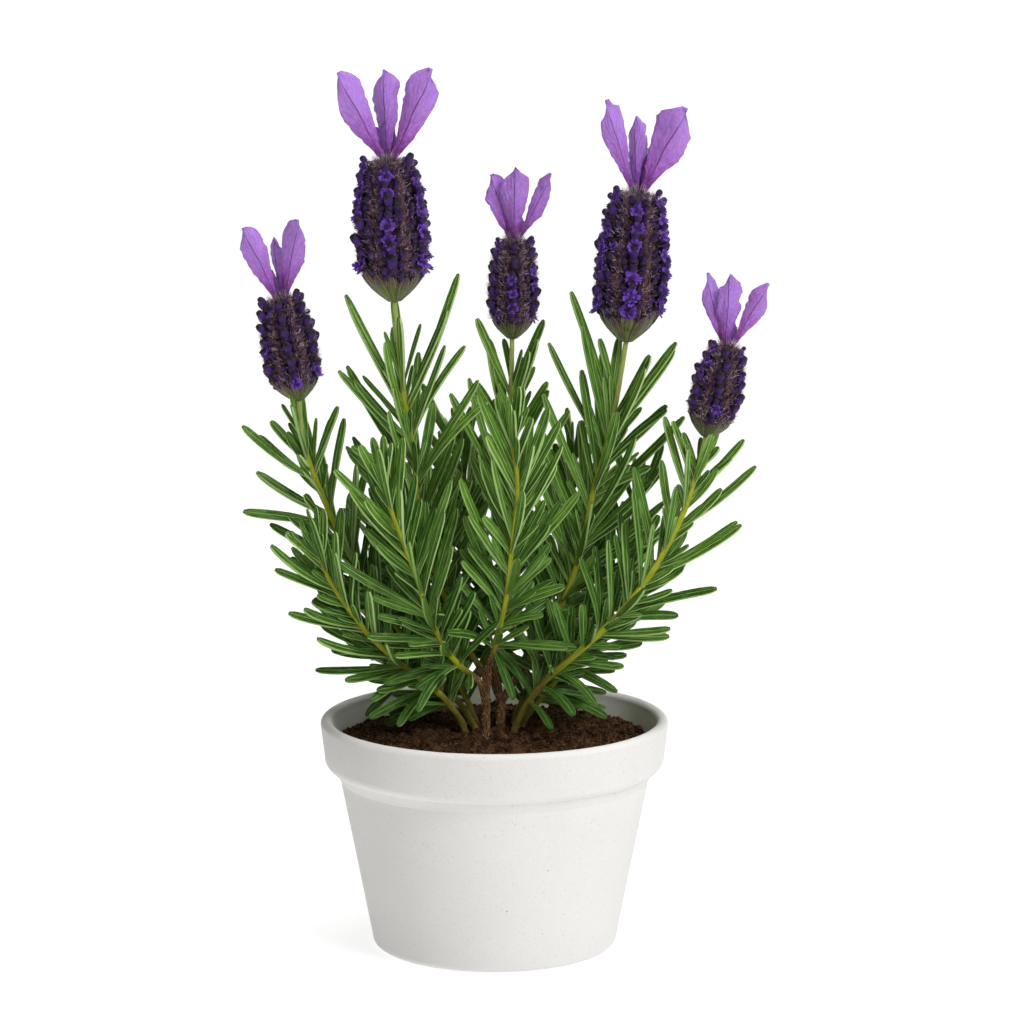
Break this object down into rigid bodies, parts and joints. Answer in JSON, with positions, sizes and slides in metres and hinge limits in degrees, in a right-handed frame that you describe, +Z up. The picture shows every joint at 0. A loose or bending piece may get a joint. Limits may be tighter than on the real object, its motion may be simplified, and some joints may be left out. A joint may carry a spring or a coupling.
{
  "type": "potted lavender",
  "caption": "Lavender plant in flower, leafy stems with violet spikes and lilac bracts, rooted in soil in a plain white pot with a collar.",
  "frame": {"origin": "middle of the pot's flat underside", "axes": "+Z up along the pot's axis, the side that the plant is seen from faces -Y"},
  "size_m": [0.1628, 0.11, 0.2786],
  "materials": {
    "pot": "matte",
    "soil": "matte",
    "wood": "matte",
    "leaf": "satin",
    "cup": "matte",
    "spike": "matte",
    "bract": "satin"
  },
  "bodies": {
    "root": {"pot": "pot", "soil": "soil", "trunk_left": "wood", "trunk_right": "wood", "shoot_tall_left": "leaf", "shoot_tall_right": "leaf", "shoot_middle": "leaf", "shoot_far_left": "leaf", "shoot_far_right": "leaf", "shoot_low_left": "leaf", "shoot_front_left": "leaf", "shoot_front": "leaf", "shoot_back": "leaf", "shoot_back_right": "leaf", "shoot_back_left": "leaf", "shoot_right": "leaf", "shoot_low_back_left": "leaf", "shoot_low_back_right": "leaf", "cup_tall_left": "cup", "cup_tall_right": "cup", "cup_middle": "cup", "cup_far_left": "cup", "cup_far_right": "cup", "spike_tall_left": "spike", "spike_tall_right": "spike", "spike_middle": "spike", "spike_far_left": "spike", "spike_far_right": "spike", "tuft_tall_left": "bract", "tuft_tall_right": "bract", "tuft_middle": "bract", "tuft_far_left": "bract", "tuft_far_right": "bract"}
  },
  "joints": []
}
